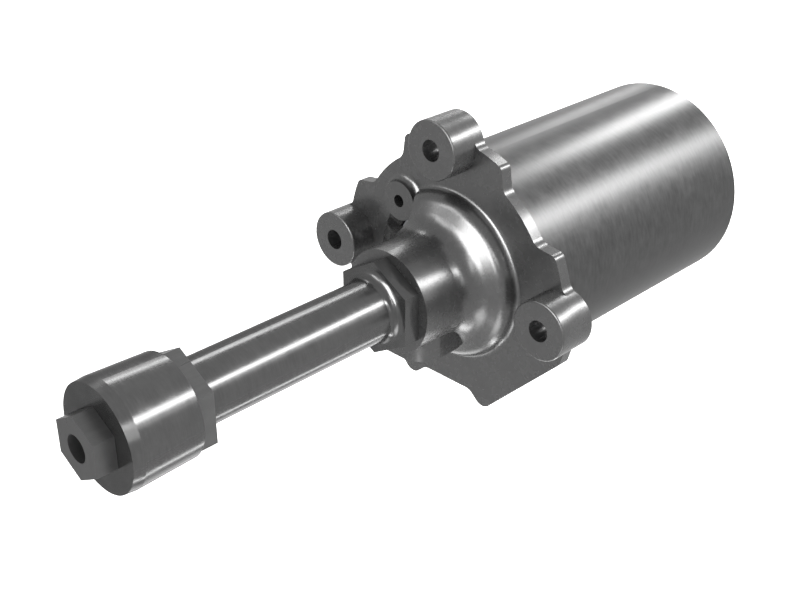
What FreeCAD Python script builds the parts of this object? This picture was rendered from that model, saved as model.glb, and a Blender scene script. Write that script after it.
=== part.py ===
"""Air-over-hydraulic cylinder: an air piston pushes a small plunger that sends out brake fluid.

X runs along the cylinder axis towards the fluid outlet and Z is up. The origin lies on the axis,
in the plane of the three mounting boss faces. All sizes are in millimetres.
"""
import FreeCAD, Part
import math
import os
from FreeCAD import Vector

# Fits between neighbouring pieces, measured on the radius
STATIC_GAP = 0.05
RUNNING_GAP = 0.10
PISTON_GAP = 0.40
SEAT_GAP = 0.05

# Edge rounds of turned pieces and the grooves of the seal rings
SMALL_ROUND = 0.5
EDGE_ROUND = 0.8
CORNER_ROUND = 1.5
RING_GROOVE_RATIO = 1.2
GROOVE_OVERCUT = 1.0

# Flange plate and its three mounting bosses
BOLT_CIRCLE_R = 50.8
BOLT_HOLE_R = 3.97
BOSS_R = 11.0
BOSS_HEIGHT = 10.7
BOSS_RIM_ROUND = 0.5
PLATE_T = 4.7
LUG_INSET = 8.8
LOWER_LUG_INSET = 6.4
WAIST_DEPTH = 7.0
LUG_HALF_WIDTH = 22.3
LUG_FLANK_SPREAD = 7.6
LOWER_EDGE_INSET = 6.0
SCALLOP_DEPTH = 10.0
SCALLOP_HALF_WIDTH = 11.5
SCALLOP_FLANK_ANGLE = 48.0
EAR_ROUND = 2.8
LOWER_EAR_ROUND = 4.4
ROOT_ROUND = 5.0
SCALLOP_ROUND = 4.6
BOSS_BLEND_ROUND = 4.0

# Dome and neck of the cast cover
DOME_BASE_R = 32.4
DOME_SIDE_TILT = 12.0
DOME_FACE_TILT = 65.0
DOME_SHOULDER_RISE = 4.4
DOME_FOOT_ROUND = 2.0
DOME_SHOULDER_ROUND = 6.0
DOME_FLARE_ROUND = 10.0
NECK_R = 20.0
NECK_NOSE_R = 19.6
NECK_RISE = 32.0
NECK_BORE_R = 13.0

# Supply pad under the neck
PAD_HALF_WIDTH = 15.1
PAD_FRONT_INSET = 2.0
PAD_DROP = 21.4
PAD_CORNER_ROUND = 9.5
PAD_FLANK_LENGTH = 18.0
PAD_REAR_TURN = 12.0
SUPPLY_PORT_R = 4.4
SUPPLY_PORT_INSET = 11.3
SUPPLY_GROOVE_R = 14.2
SUPPLY_GROOVE_WIDTH = 9.4

# Vent boss on the plate
VENT_Y = -23.1
VENT_Z = 22.5
VENT_BOSS_R = 7.6
VENT_BOSS_RISE = 3.1
VENT_FOOT_ROUND = 2.6
VENT_HOLE_R = 2.4
VENT_SPOT_FACE_R = 10.4

# Spigot, cavity and gland hub at the back of the cover
SPIGOT_LENGTH = 12.0
SPIGOT_WALL = 3.5
CAVITY_R = 27.0
CAVITY_DEPTH = 6.4
HUB_R = 14.0
GLAND_R = 9.0
GLAND_SHOULDER_T = 3.0

# Air chamber
CAN_R = 41.5
CAN_WALL = 3.0
CAN_LENGTH = 122.9
CAN_EDGE_ROUND = 0.4
END_PLATE_T = 6.0
END_PLATE_INSET = 1.5
WELD_LEG = 1.2
BUNG_R = 11.0
BUNG_INNER_STAND = 1.3
AIR_PORT_R = 5.6
CAN_RING_SECTION_R = 1.2
CAN_RING_SETBACK = 7.5

# Hydraulic barrel with its hexagon collar
BARREL_R = 11.5
BARREL_BORE_R = 7.5
BARREL_HEX_AF = 31.0
BARREL_HEX_T = 6.6
BARREL_FOOT_ROUND = 3.4
BARREL_OPEN_LENGTH = 80.8
BARREL_SPIGOT_LENGTH = 29.0
BARREL_NOSE_LENGTH = 7.5
BARREL_NOSE_WALL = 9.0
BARREL_OUTLET_R = 4.0
BARREL_MOUTH_LENGTH = 1.2
CROSS_HOLE_R = 1.5
BARREL_WAIST_R = 11.6
BARREL_RING_SECTION_R = 1.0
BARREL_RING_SETBACK = 3.0

# Lock nut, outlet housing and outlet fitting
LOCK_NUT_AF = 31.4
LOCK_NUT_T = 5.8
HOUSING_LENGTH = 25.4
HOUSING_REAR_R = 17.9
HOUSING_FRONT_R = 18.6
HOUSING_NOSE_R = 18.2
HOUSING_NOSE_LENGTH = 4.0
FITTING_AF = 19.5
FITTING_HEX_T = 7.1
OUTLET_PORT_R = 4.63
OUTLET_PORT_DEPTH = 9.5
FITTING_SPIGOT_R = 8.0
FITTING_SPIGOT_LENGTH = 8.4
FITTING_RING_SECTION_R = 0.8

# Residual pressure valve
VALVE_CHAMBER_R = 9.0
VALVE_SEAT_T = 2.0
VALVE_SEAT_BORE_R = 3.5
VALVE_DISC_R = 6.9
VALVE_DISC_T = 2.0
VALVE_WING_LENGTH = 8.5
VALVE_WING_T = 1.0
VALVE_GUIDE_R = 3.6
VALVE_SPRING_R = 5.9
VALVE_SPRING_WIRE_R = 0.4
VALVE_SPRING_TURNS = 4.0

# Moving ram: air piston, rod and plunger
REAR_STOP_GAP = 0.3
STOP_RING_T = 9.5
STOP_RING_MEAN_R = 22.5
STOP_RING_WIDTH = 5.0
CLAMP_PLATE_T = 2.5
CLAMP_PLATE_R = 28.0
CUP_T = 3.0
CUP_LIP_LENGTH = 6.0
CUP_LIP_T = 1.0
PISTON_T = 10.5
PISTON_PILOT_R = 20.4
PISTON_PILOT_RISE = 4.0
GUIDE_RING_WIDTH = 5.0
GUIDE_RING_T = 2.4
ROD_R = 6.0
ROD_TAIL_R = 5.0
ROD_TIP_R = 3.5
ROD_TIP_LENGTH = 7.0
NUT_AF = 16.0
NUT_T = 6.0
PLUNGER_REAR_GAP = 2.2
PLUNGER_CUP_LENGTH = 4.5
PLUNGER_CUP_T = 2.2
PLUNGER_CUP_LIP_T = 0.7
PLUNGER_CUP_SETBACK = 2.5
CUP_SCREW_HEAD_R = 4.6
CUP_SCREW_HEAD_T = 1.6
CUP_SCREW_SHANK_R = 2.0

# Return spring and its seat
SPRING_MEAN_R = 22.6
SPRING_WIRE_R = 1.6
SPRING_TURNS = 7.0
SPRING_SEAT_T = 1.2
SPRING_SEAT_INNER_R = 18.6

# Gland pieces around the rod
ROD_SEAL_LENGTH = 5.5
ROD_SEAL_GROOVE = 1.2
BUSH_LENGTH = 8.5
SNAP_RING_T = 1.2
SNAP_RING_BITE = 1.0
SNAP_RING_WIDTH = 2.2
SNAP_RING_MOUTH = 5.0
GLAND_MOUTH_LAND = 1.0

# Outline of the flange, set back from the outer edge of the bosses
BOSS_REACH = BOLT_CIRCLE_R + BOSS_R
LUG_R = BOSS_REACH - LUG_INSET
LOWER_LUG_R = BOSS_REACH - LOWER_LUG_INSET
WAIST_R = LUG_R - WAIST_DEPTH
LOWER_EDGE_OFFSET = LOWER_LUG_R - LOWER_EDGE_INSET
SCALLOP_Z = LOWER_LUG_R - SCALLOP_DEPTH

# Stations along X worked out from the sizes above
PLATE_FRONT_X = -BOSS_HEIGHT
PLATE_REAR_X = PLATE_FRONT_X - PLATE_T
SPIGOT_REAR_X = PLATE_REAR_X - SPIGOT_LENGTH
NECK_FRONT_X = PLATE_FRONT_X + NECK_RISE
CAVITY_FRONT_X = PLATE_REAR_X + CAVITY_DEPTH
CAN_RING_X = PLATE_REAR_X - CAN_RING_SETBACK
SUPPLY_X = NECK_FRONT_X - SUPPLY_PORT_INSET
CAN_INNER_R = CAN_R - CAN_WALL
CAN_REAR_X = PLATE_REAR_X - CAN_LENGTH
END_PLATE_REAR_X = CAN_REAR_X + END_PLATE_INSET
END_PLATE_FRONT_X = END_PLATE_REAR_X + END_PLATE_T
SPIGOT_R = CAN_INNER_R - STATIC_GAP

BARREL_REAR_X = NECK_FRONT_X - BARREL_SPIGOT_LENGTH
BARREL_RING_X = NECK_FRONT_X - BARREL_RING_SETBACK
BARREL_HEX_FRONT_X = NECK_FRONT_X + BARREL_HEX_T
LOCK_NUT_X = BARREL_HEX_FRONT_X + BARREL_OPEN_LENGTH
HOUSING_X = LOCK_NUT_X + LOCK_NUT_T
BARREL_FRONT_X = HOUSING_X + BARREL_NOSE_LENGTH
HOUSING_FRONT_X = HOUSING_X + HOUSING_LENGTH
FITTING_REAR_X = HOUSING_FRONT_X - FITTING_SPIGOT_LENGTH
FITTING_FRONT_X = HOUSING_FRONT_X + FITTING_HEX_T
FITTING_RING_X = HOUSING_FRONT_X - 2 * FITTING_RING_SECTION_R
VALVE_SEAT_FRONT_X = BARREL_FRONT_X + VALVE_SEAT_T
VALVE_DISC_X = VALVE_SEAT_FRONT_X + SEAT_GAP
VALVE_DISC_FRONT_X = VALVE_DISC_X + VALVE_DISC_T

STOP_RING_X = END_PLATE_FRONT_X + REAR_STOP_GAP
CLAMP_PLATE_X = STOP_RING_X + STOP_RING_T
CUP_X = CLAMP_PLATE_X + CLAMP_PLATE_T
PISTON_X = CUP_X + CUP_T
PISTON_FRONT_X = PISTON_X + PISTON_T
PISTON_PILOT_X = PISTON_FRONT_X + PISTON_PILOT_RISE
GUIDE_GROOVE_X = (PISTON_X + PISTON_FRONT_X - GUIDE_RING_WIDTH) / 2
NUT_X = CLAMP_PLATE_X - NUT_T
PLUNGER_CUP_FRONT_X = SUPPLY_X - CROSS_HOLE_R - PLUNGER_CUP_SETBACK
PLUNGER_FRONT_X = PLUNGER_CUP_FRONT_X - PLUNGER_CUP_LENGTH
SPRING_SEAT_X = CAVITY_FRONT_X - SPRING_SEAT_T

GLAND_SHOULDER_X = BARREL_REAR_X - GLAND_SHOULDER_T
PLUNGER_X = GLAND_SHOULDER_X + PLUNGER_REAR_GAP
ROD_SEAL_X = GLAND_SHOULDER_X - ROD_SEAL_LENGTH
BUSH_X = ROD_SEAL_X - BUSH_LENGTH
SNAP_RING_X = BUSH_X - SNAP_RING_T
HUB_REAR_X = SNAP_RING_X - GLAND_MOUTH_LAND

AXIS = Vector(1, 0, 0)
BIG = 2 * LOWER_LUG_R


def rounded_outline(corners, place):
    """Closed wire through corners (u, v, radius); place turns (u, v) into a point in space."""
    edges = []
    tangents = []
    count = len(corners)
    for i, (u, v, radius) in enumerate(corners):
        here = Vector(u, v, 0)
        back = (Vector(*corners[i - 1][:2], 0) - here).normalize()
        ahead = (Vector(*corners[(i + 1) % count][:2], 0) - here).normalize()
        if radius == 0:
            tangents.append((here, None, here))
            continue
        half = back.getAngle(ahead) / 2
        reach = radius / math.tan(half)
        centre = here + (back + ahead).normalize() * (radius / math.sin(half))
        middle = centre + (here - centre).normalize() * radius
        tangents.append((here + back * reach, middle, here + ahead * reach))
    for i, (start, middle, end) in enumerate(tangents):
        if middle is not None:
            edges.append(Part.Arc(place(start), place(middle), place(end)).toShape())
        following = tangents[(i + 1) % count][0]
        if (following - end).Length > 1e-6:
            edges.append(Part.LineSegment(place(end), place(following)).toShape())
    return Part.Wire(edges)


def turned(corners, y=0.0, z=0.0):
    """Solid of revolution about the line parallel to X through (y, z); corners are (x, r[, radius])."""
    corners = [c if len(c) == 3 else (c[0], c[1], 0) for c in corners]
    wire = rounded_outline(corners, lambda p: Vector(p.x, y, z + p.y))
    return Part.Face(wire).revolve(Vector(0, y, z), AXIS, 360)


def rod(radius, x_from, x_to, y=0.0, z=0.0):
    """Plain cylinder along X."""
    return Part.makeCylinder(radius, x_to - x_from, Vector(x_from, y, z), AXIS)


def ring(inner_r, outer_r, x_from, x_to):
    """Plain ring about the X axis."""
    return turned([(x_from, inner_r), (x_to, inner_r), (x_to, outer_r), (x_from, outer_r)])


def prism(points, x_from, x_to):
    """Straight prism along X over (y, z) corner points."""
    wire = Part.makePolygon([Vector(x_from, y, z) for y, z in points + points[:1]])
    return Part.Face(wire).extrude(AXIS * (x_to - x_from))


def hexagon(across_flats, x_from, x_to):
    """Hexagonal prism along X with a corner at the top."""
    corner_r = across_flats / math.sqrt(3)
    points = []
    for k in range(6):
        angle = math.radians(90 + 60 * k)
        points.append((corner_r * math.cos(angle), corner_r * math.sin(angle)))
    return prism(points, x_from, x_to)


def seal_ring(section_r, mean_r, x):
    """Ring of round section about the X axis."""
    return Part.makeTorus(mean_r, section_r, Vector(x, 0, 0), AXIS)


def ring_groove(section_r, surface_r, x):
    """Cutter for the groove that holds a seal ring in an outer surface."""
    half = RING_GROOVE_RATIO * section_r
    return ring(surface_r - 2 * section_r, surface_r + GROOVE_OVERCUT, x - half, x + half)


def coil_spring(mean_r, wire_r, turns, x_from, x_to):
    """Helical spring along X that just reaches both seats."""
    length = x_to - x_from - 2 * (wire_r + SEAT_GAP)
    helix = Part.makeHelix(length / turns, length, mean_r)
    section = Part.Wire(Part.makeCircle(wire_r, Vector(mean_r, 0, 0), Vector(0, 1, 0)))
    coil = Part.Wire(helix.Edges).makePipeShell([section], True, True)
    coil.rotate(Vector(0, 0, 0), Vector(0, 1, 0), 90)
    coil.translate(Vector(x_from + wire_r + SEAT_GAP, 0, 0))
    return coil


def boss_centres():
    """The three mounting bosses: right, left and top."""
    return [(BOLT_CIRCLE_R, 0.0), (-BOLT_CIRCLE_R, 0.0), (0.0, BOLT_CIRCLE_R)]


def upper_recess(side):
    """Cutter for the waist between the top boss's lug and a side boss's lug."""
    spread = math.tan(math.radians(LUG_FLANK_SPREAD))
    far = BIG
    corner = (LUG_HALF_WIDTH + LUG_R * spread) / (1 + spread)
    flank = corner - (far - corner) * spread
    points = [(side * corner, corner), (side * flank, far), (side * far, far), (side * far, flank)]
    tool = prism(points, PLATE_REAR_X, PLATE_FRONT_X)
    return tool.cut(rod(WAIST_R, PLATE_REAR_X, PLATE_FRONT_X))


def lower_edge(side):
    """Cutter for the straight edge that runs at 45 degrees under a side boss."""
    tool = Part.makeBox(PLATE_T, 2 * BIG, BIG, Vector(PLATE_REAR_X, -BIG, -LOWER_EDGE_OFFSET - BIG))
    tool.rotate(Vector(0, 0, 0), AXIS, side * 45)
    return tool


def bottom_scallop():
    """Cutter for the shallow scallop between the two lower ears."""
    widen = (BIG - SCALLOP_Z) * math.tan(math.radians(SCALLOP_FLANK_ANGLE))
    half = SCALLOP_HALF_WIDTH
    points = [(-half, -SCALLOP_Z), (half, -SCALLOP_Z),
              (half + widen, -BIG), (-half - widen, -BIG)]
    return prism(points, PLATE_REAR_X, PLATE_FRONT_X)


def corner_round(y, z):
    """Radius for the plate edge that stands at (y, z), or 0 where it is only a seam."""
    reach = math.hypot(y, z)
    on_lug = abs(reach - LUG_R) < 0.01 or abs(reach - LOWER_LUG_R) < 0.01
    for boss_y, boss_z in boss_centres():
        if abs(math.hypot(y - boss_y, z - boss_z) - BOSS_R) < 0.01:
            return BOSS_BLEND_ROUND if on_lug else 0
    if abs(reach - WAIST_R) < 0.01:
        return ROOT_ROUND
    if z < -WAIST_R / 2:
        return SCALLOP_ROUND if abs(z + SCALLOP_Z) < 0.01 else LOWER_EAR_ROUND
    return EAR_ROUND


def flange_plate():
    """Plate with lugs, ears, waists and scallop, its corners rounded in plan."""
    plate = rod(LUG_R, PLATE_REAR_X, PLATE_FRONT_X)
    lower = rod(LOWER_LUG_R, PLATE_REAR_X, PLATE_FRONT_X)
    lower = lower.common(Part.makeBox(PLATE_T, 2 * BIG, BIG, Vector(PLATE_REAR_X, -BIG, -BIG)))
    plate = plate.fuse(lower)
    for side in (1, -1):
        plate = plate.cut(upper_recess(side)).cut(lower_edge(side))
    plate = plate.cut(bottom_scallop())
    for y, z in boss_centres():
        plate = plate.fuse(rod(BOSS_R, PLATE_REAR_X, PLATE_FRONT_X, y, z))
    plate = plate.removeSplitter()
    by_radius = {}
    for edge in plate.Edges:
        low, high = edge.Vertexes[0].Point, edge.Vertexes[-1].Point
        if math.hypot(low.y - high.y, low.z - high.z) > 0.001 or abs(low.x - high.x) < PLATE_T / 2:
            continue
        radius = corner_round(low.y, low.z)
        if radius > 0:
            by_radius.setdefault(radius, []).append((low.y, low.z))
    for radius, places in by_radius.items():
        chosen = []
        for edge in plate.Edges:
            low, high = edge.Vertexes[0].Point, edge.Vertexes[-1].Point
            across = math.hypot(low.y - high.y, low.z - high.z)
            upright = across < 0.001 and abs(low.x - high.x) > PLATE_T / 2
            if upright and any(math.hypot(low.y - y, low.z - z) < 0.01 for y, z in places):
                chosen.append(edge)
        plate = plate.makeFillet(radius, chosen)
    return plate


def dome_and_neck():
    """Bell-shaped dome that flares back from the neck to the plate, solid at this stage."""
    shoulder_r = DOME_BASE_R - DOME_SHOULDER_RISE * math.tan(math.radians(DOME_SIDE_TILT))
    shoulder_x = PLATE_FRONT_X + DOME_SHOULDER_RISE
    flare_x = shoulder_x + (shoulder_r - NECK_R) / math.tan(math.radians(DOME_FACE_TILT))
    return turned([
        (PLATE_REAR_X, 0),
        (PLATE_REAR_X, DOME_BASE_R + 2 * DOME_FOOT_ROUND),
        (PLATE_FRONT_X, DOME_BASE_R + 2 * DOME_FOOT_ROUND),
        (PLATE_FRONT_X, DOME_BASE_R, DOME_FOOT_ROUND),
        (shoulder_x, shoulder_r, DOME_SHOULDER_ROUND),
        (flare_x, NECK_R, DOME_FLARE_ROUND),
        (NECK_FRONT_X, NECK_NOSE_R),
        (NECK_FRONT_X, 0),
    ])


def supply_pad():
    """Flat-bottomed pad under the neck that carries the fluid supply port."""
    front = NECK_FRONT_X - PAD_FRONT_INSET
    crease = front - PAD_FLANK_LENGTH
    half = PAD_HALF_WIDTH
    rear_half = half - (crease - PLATE_FRONT_X) * math.tan(math.radians(PAD_REAR_TURN))
    corners = [(PLATE_FRONT_X, -rear_half, 0), (crease, -half, 0), (front, -half, PAD_CORNER_ROUND),
               (front, half, PAD_CORNER_ROUND), (crease, half, 0), (PLATE_FRONT_X, rear_half, 0)]
    wire = rounded_outline(corners, lambda p: Vector(p.x, p.y, -PAD_DROP))
    return Part.Face(wire).extrude(Vector(0, 0, PAD_DROP))


def vent_boss():
    """Small turned boss with a flared foot."""
    face_x = PLATE_FRONT_X + VENT_BOSS_RISE
    foot_r = VENT_BOSS_R + 2 * VENT_FOOT_ROUND
    return turned([(PLATE_REAR_X, 0), (PLATE_REAR_X, foot_r), (PLATE_FRONT_X, foot_r),
                   (PLATE_FRONT_X, VENT_BOSS_R, VENT_FOOT_ROUND), (face_x, VENT_BOSS_R), (face_x, 0)],
                  VENT_Y, VENT_Z)


def front_cover():
    """Cast cover: flange, bosses, bell, neck and pad, hollow behind, with its gland hub."""
    body = flange_plate()
    for y, z in boss_centres():
        boss = turned([(PLATE_REAR_X, 0), (PLATE_REAR_X, BOSS_R), (0, BOSS_R, BOSS_RIM_ROUND), (0, 0)], y, z)
        body = body.fuse(boss)
    body = body.fuse(dome_and_neck()).fuse(supply_pad())
    body = body.cut(rod(VENT_SPOT_FACE_R, PLATE_FRONT_X, NECK_FRONT_X, VENT_Y, VENT_Z)).fuse(vent_boss())
    body = body.fuse(rod(SPIGOT_R, SPIGOT_REAR_X, PLATE_REAR_X + PLATE_T / 2))
    cavity_mouth_r = SPIGOT_R - SPIGOT_WALL
    body = body.cut(turned([
        (SPIGOT_REAR_X, 0), (SPIGOT_REAR_X, cavity_mouth_r), (PLATE_REAR_X, cavity_mouth_r),
        (PLATE_REAR_X, CAVITY_R), (CAVITY_FRONT_X, CAVITY_R, CORNER_ROUND), (CAVITY_FRONT_X, HUB_R),
        (HUB_REAR_X, HUB_R), (HUB_REAR_X, 0)]))
    body = body.cut(ring_groove(CAN_RING_SECTION_R, SPIGOT_R, CAN_RING_X))
    bore = turned([(HUB_REAR_X, 0), (HUB_REAR_X, GLAND_R), (GLAND_SHOULDER_X, GLAND_R),
                   (GLAND_SHOULDER_X, BARREL_BORE_R), (BARREL_REAR_X, BARREL_BORE_R),
                   (BARREL_REAR_X, NECK_BORE_R), (NECK_FRONT_X, NECK_BORE_R), (NECK_FRONT_X, 0)])
    body = body.cut(bore)
    half = SUPPLY_GROOVE_WIDTH / 2
    body = body.cut(ring(NECK_BORE_R - GROOVE_OVERCUT, SUPPLY_GROOVE_R, SUPPLY_X - half, SUPPLY_X + half))
    snap_groove_r = GLAND_R + SNAP_RING_BITE + STATIC_GAP
    body = body.cut(ring(GLAND_R - GROOVE_OVERCUT, snap_groove_r, SNAP_RING_X, BUSH_X))
    port = Part.makeCylinder(SUPPLY_PORT_R, PAD_DROP - NECK_BORE_R + GROOVE_OVERCUT,
                             Vector(SUPPLY_X, 0, -PAD_DROP), Vector(0, 0, 1))
    body = body.cut(port)
    for y, z in boss_centres():
        body = body.cut(rod(BOLT_HOLE_R, PLATE_REAR_X, 0, y, z))
    body = body.cut(rod(VENT_HOLE_R, PLATE_REAR_X, PLATE_FRONT_X + VENT_BOSS_RISE, VENT_Y, VENT_Z))
    return body.removeSplitter()


def air_chamber_can():
    """Tube of the air chamber with a barely broken rear edge."""
    return turned([(CAN_REAR_X, CAN_INNER_R), (CAN_REAR_X, CAN_R, CAN_EDGE_ROUND), (PLATE_REAR_X, CAN_R),
                   (PLATE_REAR_X, CAN_INNER_R)])


def rear_end_plate():
    """Disc welded into the back of the tube, with the hole for the air bung."""
    outer = CAN_INNER_R - STATIC_GAP
    return turned([(END_PLATE_REAR_X, BUNG_R + STATIC_GAP), (END_PLATE_REAR_X, outer),
                   (END_PLATE_FRONT_X, outer), (END_PLATE_FRONT_X, BUNG_R + STATIC_GAP)])


def end_plate_weld():
    """Fillet weld that joins the disc to the inside of the tube."""
    return turned([(END_PLATE_REAR_X, CAN_INNER_R), (END_PLATE_REAR_X - WELD_LEG, CAN_INNER_R),
                   (END_PLATE_REAR_X, CAN_INNER_R - 2 * WELD_LEG)])


def air_inlet_bung():
    """Threaded bung in the middle of the end plate."""
    front = END_PLATE_FRONT_X + BUNG_INNER_STAND
    rear = END_PLATE_REAR_X - WELD_LEG
    return turned([(rear, AIR_PORT_R + EDGE_ROUND), (rear, BUNG_R, EDGE_ROUND), (front, BUNG_R),
                   (front, AIR_PORT_R), (rear + EDGE_ROUND, AIR_PORT_R)])


def can_seal_ring():
    """Rubber ring between the cover's spigot and the tube."""
    return seal_ring(CAN_RING_SECTION_R - STATIC_GAP, CAN_INNER_R - CAN_RING_SECTION_R, CAN_RING_X)


def hydraulic_barrel():
    """Fluid tube with its hexagon collar, threaded spigot and cross holes."""
    spigot_r = NECK_BORE_R - STATIC_GAP
    core_r = BARREL_HEX_AF / 2 - SMALL_ROUND
    outside = turned([
        (BARREL_REAR_X, 0), (BARREL_REAR_X, spigot_r, EDGE_ROUND), (NECK_FRONT_X, spigot_r),
        (NECK_FRONT_X, core_r), (BARREL_HEX_FRONT_X, core_r),
        (BARREL_HEX_FRONT_X, BARREL_R, BARREL_FOOT_ROUND), (BARREL_FRONT_X, BARREL_R, SMALL_ROUND),
        (BARREL_FRONT_X, 0)])
    body = outside.fuse(hexagon(BARREL_HEX_AF, NECK_FRONT_X, BARREL_HEX_FRONT_X))
    shoulder_x = BARREL_FRONT_X - BARREL_NOSE_WALL
    body = body.cut(turned([
        (BARREL_REAR_X, 0), (BARREL_REAR_X, BARREL_BORE_R + BARREL_MOUTH_LENGTH / 2),
        (BARREL_REAR_X + BARREL_MOUTH_LENGTH, BARREL_BORE_R), (shoulder_x, BARREL_BORE_R, CORNER_ROUND),
        (shoulder_x, BARREL_OUTLET_R), (BARREL_FRONT_X, BARREL_OUTLET_R), (BARREL_FRONT_X, 0)]))
    body = body.cut(ring_groove(BARREL_RING_SECTION_R, spigot_r, BARREL_RING_X))
    half = SUPPLY_GROOVE_WIDTH / 2
    body = body.cut(ring(BARREL_WAIST_R, NECK_BORE_R, SUPPLY_X - half, SUPPLY_X + half))
    for direction in (Vector(0, 0, 1), Vector(0, 1, 0)):
        start = Vector(SUPPLY_X, 0, 0) - direction * NECK_BORE_R
        body = body.cut(Part.makeCylinder(CROSS_HOLE_R, 2 * NECK_BORE_R, start, direction))
    return body.removeSplitter()


def barrel_seal_ring():
    """Rubber ring on the barrel's spigot, just inside the neck."""
    return seal_ring(BARREL_RING_SECTION_R - STATIC_GAP, NECK_BORE_R - BARREL_RING_SECTION_R, BARREL_RING_X)


def barrel_lock_nut():
    """Hexagon nut that locks the outlet housing on the barrel."""
    nut = hexagon(LOCK_NUT_AF, LOCK_NUT_X, HOUSING_X)
    return nut.cut(rod(BARREL_R + STATIC_GAP, LOCK_NUT_X, HOUSING_X))


def outlet_housing():
    """End housing, slightly wider towards its bevelled nose, bored for barrel, valve and fitting."""
    bevel_x = HOUSING_FRONT_X - HOUSING_NOSE_LENGTH
    body = turned([(HOUSING_X, 0), (HOUSING_X, HOUSING_REAR_R), (bevel_x, HOUSING_FRONT_R),
                   (HOUSING_FRONT_X, HOUSING_NOSE_R), (HOUSING_FRONT_X, 0)])
    thread_r = BARREL_R + STATIC_GAP
    bore = turned([(HOUSING_X, 0), (HOUSING_X, thread_r), (VALVE_SEAT_FRONT_X, thread_r),
                   (VALVE_SEAT_FRONT_X, VALVE_CHAMBER_R), (FITTING_REAR_X, VALVE_CHAMBER_R),
                   (FITTING_REAR_X, FITTING_SPIGOT_R + STATIC_GAP),
                   (HOUSING_FRONT_X, FITTING_SPIGOT_R + STATIC_GAP), (HOUSING_FRONT_X, 0)])
    return body.cut(bore)


def valve_seat_ring():
    """Seat washer held between the barrel's end and the housing's shoulder."""
    return ring(VALVE_SEAT_BORE_R, BARREL_R, BARREL_FRONT_X, VALVE_SEAT_FRONT_X)


def residual_valve_poppet():
    """Valve disc with three guide wings that slide in the outlet fitting's bore."""
    disc = ring(0, VALVE_DISC_R, VALVE_DISC_X, VALVE_DISC_FRONT_X)
    tip_x = VALVE_DISC_FRONT_X + VALVE_WING_LENGTH
    wing_r = VALVE_GUIDE_R - RUNNING_GAP
    wings = Part.makeBox(VALVE_WING_LENGTH, VALVE_WING_T, wing_r,
                         Vector(VALVE_DISC_FRONT_X, -VALVE_WING_T / 2, 0))
    body = disc
    for k in range(3):
        wing = wings.copy()
        wing.rotate(Vector(0, 0, 0), AXIS, 120 * k)
        body = body.fuse(wing)
    return body.common(rod(wing_r, VALVE_DISC_FRONT_X, tip_x).fuse(disc)).removeSplitter()


def residual_valve_spring():
    """Light spring that holds the poppet on its seat."""
    return coil_spring(VALVE_SPRING_R, VALVE_SPRING_WIRE_R, VALVE_SPRING_TURNS, VALVE_DISC_FRONT_X,
                       FITTING_REAR_X)


def outlet_fitting():
    """Hexagon outlet connector screwed into the housing's nose, its port narrowing to the valve guide."""
    body = hexagon(FITTING_AF, HOUSING_FRONT_X, FITTING_FRONT_X)
    body = body.fuse(rod(FITTING_SPIGOT_R, FITTING_REAR_X, HOUSING_FRONT_X))
    body = body.cut(ring_groove(FITTING_RING_SECTION_R, FITTING_SPIGOT_R, FITTING_RING_X))
    body = body.cut(rod(VALVE_GUIDE_R, FITTING_REAR_X, FITTING_FRONT_X))
    body = body.cut(rod(OUTLET_PORT_R, FITTING_FRONT_X - OUTLET_PORT_DEPTH, FITTING_FRONT_X))
    return body.removeSplitter()


def fitting_seal_ring():
    """Rubber ring under the outlet fitting's hexagon."""
    mean_r = FITTING_SPIGOT_R - FITTING_RING_SECTION_R
    return seal_ring(FITTING_RING_SECTION_R - STATIC_GAP, mean_r, FITTING_RING_X)


def rod_bush():
    """Bronze bush that guides the rod in the gland hub."""
    return turned([(BUSH_X, ROD_R + RUNNING_GAP), (BUSH_X, GLAND_R - STATIC_GAP),
                   (ROD_SEAL_X, GLAND_R - STATIC_GAP), (ROD_SEAL_X, ROD_R + RUNNING_GAP)])


def rod_seal():
    """U-section lip seal that opens towards the fluid side."""
    mean_r = (ROD_R + GLAND_R) / 2
    half = ROD_SEAL_GROOVE / 2
    inner, outer = ROD_R + RUNNING_GAP, GLAND_R - STATIC_GAP
    floor_x = ROD_SEAL_X + ROD_SEAL_LENGTH / 2
    return turned([(ROD_SEAL_X, inner), (GLAND_SHOULDER_X, inner), (GLAND_SHOULDER_X, mean_r - half),
                   (floor_x, mean_r), (GLAND_SHOULDER_X, mean_r + half), (GLAND_SHOULDER_X, outer),
                   (ROD_SEAL_X, outer)])


def gland_snap_ring():
    """Open spring ring that keeps the bush in the hub."""
    outer = GLAND_R + SNAP_RING_BITE
    body = ring(outer - SNAP_RING_WIDTH, outer, SNAP_RING_X, BUSH_X)
    mouth = Part.makeBox(SNAP_RING_T, SNAP_RING_MOUTH, 2 * outer,
                         Vector(SNAP_RING_X, -SNAP_RING_MOUTH / 2, -2 * outer))
    return body.cut(mouth)


def spring_seat_ring():
    """Steel ring that keeps the spring off the casting."""
    return ring(SPRING_SEAT_INNER_R, CAVITY_R - CORNER_ROUND - STATIC_GAP, SPRING_SEAT_X, CAVITY_FRONT_X)


def return_spring():
    """Coil spring between the cover and the air piston."""
    return coil_spring(SPRING_MEAN_R, SPRING_WIRE_R, SPRING_TURNS, PISTON_FRONT_X, SPRING_SEAT_X)


def stop_ring():
    """Rubber ring on which the piston rests at the back."""
    half = STOP_RING_WIDTH / 2
    return turned([(STOP_RING_X, STOP_RING_MEAN_R - half, EDGE_ROUND),
                   (STOP_RING_X, STOP_RING_MEAN_R + half, EDGE_ROUND),
                   (CLAMP_PLATE_X, STOP_RING_MEAN_R + half), (CLAMP_PLATE_X, STOP_RING_MEAN_R - half)])


def cup_clamp_plate():
    """Steel plate that clamps the cup packing to the piston."""
    return ring(ROD_TAIL_R + STATIC_GAP, CLAMP_PLATE_R, CLAMP_PLATE_X, CUP_X)


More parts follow.
